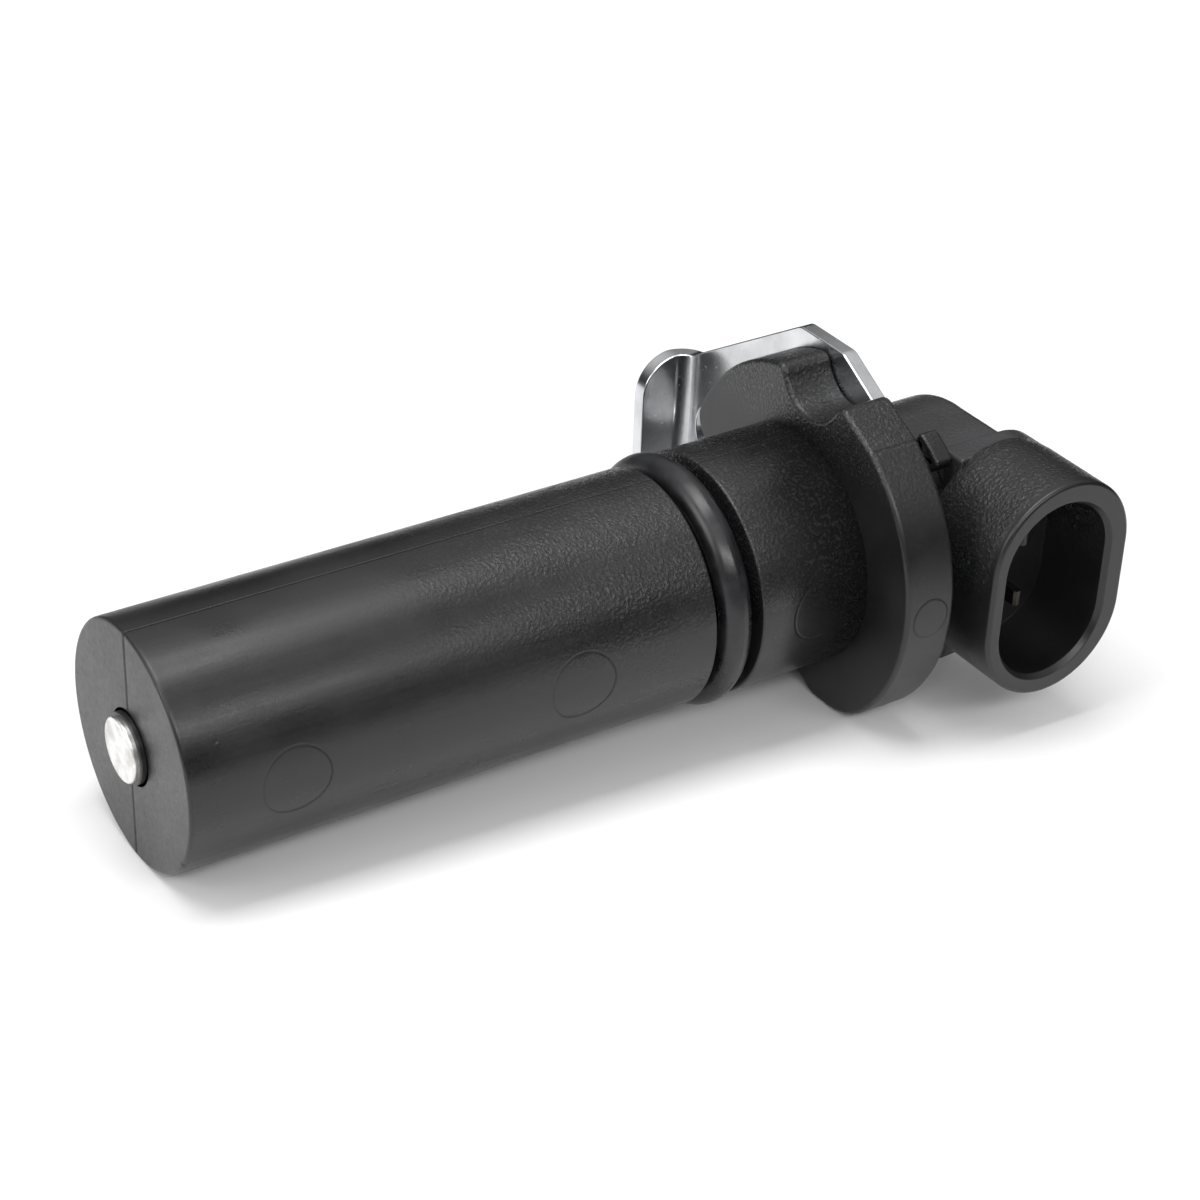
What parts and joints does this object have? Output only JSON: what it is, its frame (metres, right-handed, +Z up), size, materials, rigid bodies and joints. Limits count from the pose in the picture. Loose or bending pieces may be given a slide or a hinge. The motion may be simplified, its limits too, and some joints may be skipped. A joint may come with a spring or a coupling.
{
  "type": "crankshaft position sensor",
  "caption": "Round plastic sensing nose with a steel pole tip, a seal ring, a seat flange on a bent steel bolt plate and a side connector socket; it picks up the turning of an engine's shaft.",
  "frame": {"origin": "centre of the flange's seat face, on the axis of the nose", "axes": "+X along the nose from its tip to the rear, -Y the way the connector opens, +Y towards the bolt, +Z up"},
  "size_m": [0.0921, 0.0459, 0.0316],
  "materials": {
    "black_moulding": "fine grain",
    "seal_rubber": "smooth satin",
    "zinc_steel": "bright zinc plate",
    "pole_iron": "turned",
    "magnet_alloy": "ground",
    "spool_plastic": "smooth",
    "copper_wire": "enamelled",
    "film_tape": "clear film",
    "tinned_brass": "tinned",
    "solder": "bright"
  },
  "bodies": {
    "root": {"housing": "black_moulding", "o_ring": "seal_rubber", "mounting_plate": "zinc_steel", "pole_piece": "pole_iron", "magnet": "magnet_alloy", "bobbin": "spool_plastic", "coil_winding": "copper_wire", "winding_tape": "film_tape", "terminal_holder": "spool_plastic", "terminal_upper": "tinned_brass", "terminal_lower": "tinned_brass", "coil_lead_upper": "copper_wire", "coil_lead_lower": "copper_wire", "solder_joint_upper": "solder", "solder_joint_lower": "solder"}
  },
  "joints": []
}
